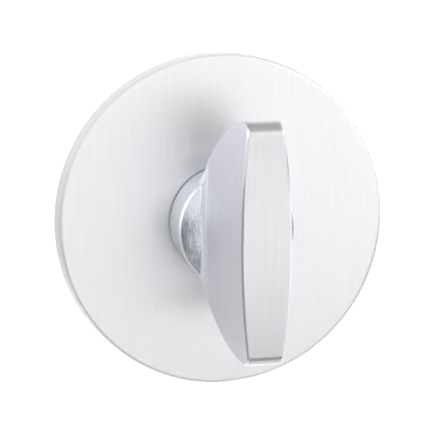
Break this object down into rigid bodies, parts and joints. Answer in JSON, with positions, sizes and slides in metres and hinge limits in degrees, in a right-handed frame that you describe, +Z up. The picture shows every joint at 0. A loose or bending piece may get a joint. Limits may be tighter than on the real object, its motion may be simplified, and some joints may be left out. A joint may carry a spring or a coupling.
{
  "type": "bathroom thumb turn lock",
  "caption": "Wing-shaped thumb turn with a round neck on a flat round rose, with its spindle and fixing bolts, for locking a bathroom door from inside.",
  "frame": {"origin": "middle of the rose, on the door face", "axes": "+Y into the door along the spindle, the turn stands out towards -Y, +Z up, +X to the right as the user sees it"},
  "size_m": [0.052, 0.0734, 0.052],
  "materials": {
    "satin_rose": "satin chrome, brushed upright",
    "satin_turn": "satin chrome, front face brushed upright",
    "slide_ring": "grey acetal",
    "nylon": "natural nylon",
    "zinc_steel": "bright zinc plate",
    "spring_steel": "oiled spring steel",
    "dark_steel": "black oxide"
  },
  "bodies": {
    "rose": {"rose_cover": "satin_rose", "base_plate": "zinc_steel", "guide_bush": "nylon", "snap_ring": "spring_steel", "fixing_bolts": "zinc_steel", "neck_washer": "slide_ring"},
    "turn": {"thumb_turn": "satin_turn", "spindle": "zinc_steel", "grub_screw": "dark_steel", "stop_washer": "zinc_steel", "spring_washer": "spring_steel", "retaining_ring": "spring_steel"}
  },
  "joints": [
    {"name": "turn_hinge", "type": "hinge", "parent": "rose", "child": "turn", "pos_m": [0, 0, 0], "axis": [0, 1, 0], "range_deg": [0, 90]}
  ]
}
